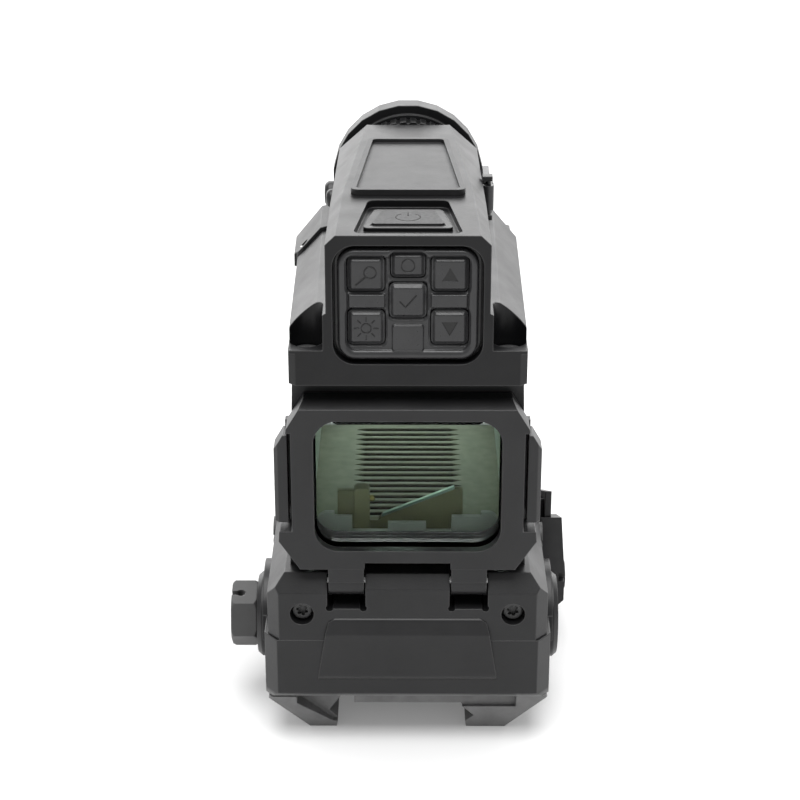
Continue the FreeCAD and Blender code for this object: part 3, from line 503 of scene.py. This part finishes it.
def moulded_key(node):
    """Rubber key on rings that grow from the middle to the outline and then run back along the
    sides. The depth of the front is the setback, plus the shoulder's fall where it nears the
    outline, plus the sign's depth inside the sign."""
    low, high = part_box(node)
    middle, half = middle_and_half(low, high)
    edge = rounded_outline(*half, KEY_CORNER, 220)
    flat = np.linspace(0.01, 1, 70)[:, None, None] * edge
    u, v = flat[..., 0], flat[..., 1]
    sign = rise(SIGNS[node](u / MM, v / MM), SIGN_EASE)
    fall, width = KEY_SHOULDER
    drop = fall * (1 - rise(box_gap(u, v, (0, 0), half, KEY_CORNER), width))
    depth = low.y + KEY_SETBACK + drop + SIGN_DEPTH * sign
    front = np.stack([u + middle[0], depth, v + middle[1]], -1)
    sides = [np.stack([edge[:, 0] + middle[0], np.full(len(edge), y), edge[:, 1] + middle[1]], -1)
             for y in (low.y + KEY_SIDE, high.y)]
    loops = np.concatenate([front, sides])
    shade = np.concatenate([sign, np.zeros((2, len(edge)))])
    settle(skin(node + "_moulded", loops, RUBBER, sign=shade), node)


MAT_CORNER = 3.0 * MM
GROOVE_INSET = (0.45 * MM, 0.35 * MM)   # from the mat's outline to the ridge, across and up
GROOVE_DEPTH = 1.7 * MM
RIDGE_CORNER = 2.6 * MM
RIDGE_HALF = 0.75 * MM                  # half the ridge's width
RIDGE_TOP = 0.15 * MM
PANEL_DEPTH = 0.75 * MM
BAR_GAP = 0.5 * MM                      # from the middle key to a level bar
BAR_END = 1.9 * MM                      # from a level bar's end to the mat's outline
BAR_HALF = 1.2 * MM
BLANK_DROP = 5.75 * MM                  # from the middle key's middle to the blank pad's
BLANK_HALF = (2.45 * MM, 2.2 * MM)
PAD_RISE = 0.4 * MM
LIP = (0.5 * MM, 0.2 * MM)              # round each key: margin and depth of the lip
WELL = (0.16 * MM, 1.8 * MM)            # round each key: margin and depth of the well
PAINTED_SHADE_DEPTHS = (1.2 * MM, 1.6 * MM)     # depths between which painted shade turns the rubber black


def moulded_mat():
    """Keypad mat: a rounded ridge of circular section inside a deep outer groove, a sunken
    panel, level bars beside the middle key, a blank pad below it, and a well for each key;
    painted shade blackens the deep groove and the wells."""
    low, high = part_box("keypad_mat")
    middle, half = middle_and_half(low, high)
    edge = rounded_outline(*half, MAT_CORNER, 560)
    grow = np.r_[np.linspace(0.01, 0.8, 100), np.linspace(0.805, 1, 70)]
    flat = grow[:, None, None] * edge
    u, v = flat[..., 0], flat[..., 1]
    inner = (half[0] - GROOVE_INSET[0], half[1] - GROOVE_INSET[1])
    inset = -box_gap(u, v, (0, 0), inner, RIDGE_CORNER)
    bulge = np.clip((inset - RIDGE_HALF) / RIDGE_HALF, -1, 1)
    panel = np.where(inset > RIDGE_HALF, PANEL_DEPTH, GROOVE_DEPTH)
    ridge = RIDGE_TOP + (1 - np.sqrt(1 - bulge ** 2)) * RIDGE_HALF
    depth = np.where(np.abs(bulge) < 1, np.minimum(ridge, panel), panel)

    key_low, key_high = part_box("key_confirm")
    level = (key_low.z + key_high.z) / 2 - middle[1]
    start = key_high.x + BAR_GAP
    end = half[0] - BAR_END
    pads = [(((start + end) / 2 * side, level), ((end - start) / 2, BAR_HALF), 0.3 * MM)
            for side in (-1, 1)]
    pads.append(((0, level - BLANK_DROP), BLANK_HALF, 0.6 * MM))
    for place, size, corner in pads:
        depth = depth - PAD_RISE * rise(box_gap(u, v, place, size, corner), 0.35 * MM)

    for node in SIGNS:
        key_middle, size = middle_and_half(*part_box(node))
        place = np.subtract(key_middle, middle)
        lip = box_gap(u, v, place, np.add(size, LIP[0]), 1.2 * MM)
        well = box_gap(u, v, place, np.add(size, WELL[0]), KEY_CORNER)
        depth = depth + LIP[1] * rise(lip, 0.3 * MM)
        depth = np.maximum(depth, WELL[1] * rise(well, 0.12 * MM))

    y = np.clip(low.y - RIDGE_TOP + depth, low.y, high.y)
    front = np.stack([u + middle[0], y, v + middle[1]], -1)
    back = np.stack([edge[:, 0] + middle[0], np.full(len(edge), high.y),
                     edge[:, 1] + middle[1]], -1)[None]
    # painted shade: rubber deeper than these depths turns black, through the sign attribute
    shade_from, shade_to = PAINTED_SHADE_DEPTHS
    deep = np.clip((depth - shade_from) / (shade_to - shade_from), 0, 1)
    shade = np.concatenate([deep, np.zeros((1, len(edge)))])
    loops = np.concatenate([front, back])
    settle(skin("keypad_mat_moulded", loops, RUBBER, sign=shade), "keypad_mat")


def glossy_seal(node, side, foot, outer_corner, inner_corner):
    """Seal swept round a window, between the node's outline and the clear opening, which is set
    in by side, and by foot at the bottom. Two shallow grooves run round its inner face: the way
    in from the outline is 1 - 0.25 * sin^2(2 pi t), with t from the rear to the front."""
    low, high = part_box(node)
    around = 400
    middle, half = middle_and_half(low, high)
    outer = rounded_outline(*half, outer_corner, around) + middle
    inner_low = low.z + foot
    inner_high = high.z - side
    inner = rounded_outline(half[0] - side, (inner_high - inner_low) / 2, inner_corner, around)
    inner = inner + [middle[0], (inner_high + inner_low) / 2]
    t = np.linspace(0, 1, 24)
    fraction = np.r_[0, 1 - 0.25 * np.sin(2 * math.pi * t) ** 2, 0]
    loops = []
    for f, along in zip(fraction, np.r_[0, t, 1]):
        line = outer + f * (inner - outer)
        y = low.y + along * (high.y - low.y)
        loops.append(np.stack([line[:, 0], np.full(around, y), line[:, 1]], -1))
    settle(skin(node + "_ridged", np.array(loops), SEAL, closed=True), node)


POWER_RADIUS = 1.8 * MM
POWER_OPENING = 35                   # degrees to each side of the top
POWER_BAR = (0.6 * MM, 2.3 * MM)     # the bar's ends, from the ring's middle
POWER_HALF = (0.12 * MM, 0.02 * MM)  # half width and half thickness of the printed line


def power_sign():
    """Printed power sign: an open ring and a short bar, each a bar of shallow lens section."""
    low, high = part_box("power_button")
    middle = Vector(((low.x + high.x) / 2, (low.y + high.y) / 2, high.z))
    ring = np.linspace(math.radians(90 + POWER_OPENING), math.radians(450 - POWER_OPENING), 80)
    lines = {
        "power_sign_ring": POWER_RADIUS * np.stack([np.cos(ring), np.sin(ring)], -1),
        "power_sign_bar": np.stack([np.zeros(10), np.linspace(*POWER_BAR, 10)], -1),
    }
    turn = np.linspace(0, 2 * math.pi, 12, endpoint=False)
    for name, line in lines.items():
        way = np.gradient(line, axis=0)
        way = way / np.hypot(way[:, 0], way[:, 1])[:, None]
        side = np.stack([-way[:, 1], way[:, 0]], -1)
        loops = []
        for place, across in zip(line, side):
            shift = POWER_HALF[0] * np.cos(turn)
            loops.append(np.stack([middle.x + place[0] + across[0] * shift,
                                   middle.y + place[1] + across[1] * shift,
                                   middle.z + POWER_HALF[1] * np.sin(turn)], -1))
        settle(skin(name, np.array(loops), INK), "power_button", instead=False)


moulded_mat()
for key_node in SIGNS:
    moulded_key(key_node)
glossy_seal("cover_seal", 0.9 * MM, 0.9 * MM, 4.5 * MM, 3.6 * MM)
glossy_seal("rear_window_seal", 1.1 * MM, 3.25 * MM, 4.3 * MM, 3.4 * MM)
power_sign()


# ---- stage, light and camera -----------------------------------------------------------
def stage_floor():
    """Pale matt floor under the object, faintly lit from below so that it reads as white."""
    bpy.ops.mesh.primitive_plane_add(size=6.0, location=(0, 0, CAD_BOX[0][2]))
    floor = bpy.context.object
    floor.name = "studio_floor"
    material, tree = new_material("acrylic_opal_backlit")
    surface(tree, {"Base Color": linear("#cccccc"), "Roughness": 0.9, "Specular IOR Level": 0.0,
                   "Emission Color": linear("#ffffff"), "Emission Strength": 0.15}, None)
    floor.data.materials.append(material)


def soft_light(name, place, target, size, power):
    """Rectangular softbox aimed at a target; metres and watts."""
    lamp = bpy.data.lights.new(name, "AREA")
    lamp.shape = "RECTANGLE"
    lamp.size, lamp.size_y = size
    lamp.energy = power
    obj = bpy.data.objects.new(name, lamp)
    obj.location = place
    aim = Vector(target) - Vector(place)
    obj.rotation_euler = aim.to_track_quat("-Z", "Y").to_euler()
    bpy.context.scene.collection.objects.link(obj)


def studio():
    """White surroundings, one wide softbox in front, one on each side and one overhead."""
    world = bpy.data.worlds.new("studio_white")
    world.use_nodes = True
    background = world.node_tree.nodes["Background"]
    background.inputs["Color"].default_value = (1, 1, 1, 1)
    background.inputs["Strength"].default_value = 0.6
    bpy.context.scene.world = world
    bpy.context.scene.view_settings.view_transform = "Standard"
    soft_light("softbox_front", (0, 1.3, 0.75), (0, 0, 0.04), (2.4, 1.0), 23)
    soft_light("softbox_left", (-0.75, 1.15, 0.22), (0, 0, 0.05), (1.0, 0.42), 2.5)
    soft_light("softbox_right", (0.75, 1.15, 0.22), (0, 0, 0.05), (1.0, 0.42), 1.85)
    soft_light("softbox_top", (0, -0.12, 0.9), (0, 0, 0.03), (0.8, 0.8), 14)


def camera():
    """Long lens behind and above the sight, looking forward and 23 degrees down."""
    lens = bpy.data.cameras.new("viewpoint")
    lens.lens = 89.06
    lens.sensor_width = 36.0
    lens.clip_start = 0.01
    obj = bpy.data.objects.new("viewpoint", lens)
    obj.location = (0.0, -0.2938, 0.1683)
    pitch = math.radians(90 - 23)
    yaw = math.radians(0.246)
    obj.rotation_euler = (Matrix.Rotation(yaw, 3, "Z") @ Matrix.Rotation(pitch, 3, "X")).to_euler()
    bpy.context.scene.collection.objects.link(obj)
    bpy.context.scene.camera = obj


stage_floor()
studio()
camera()
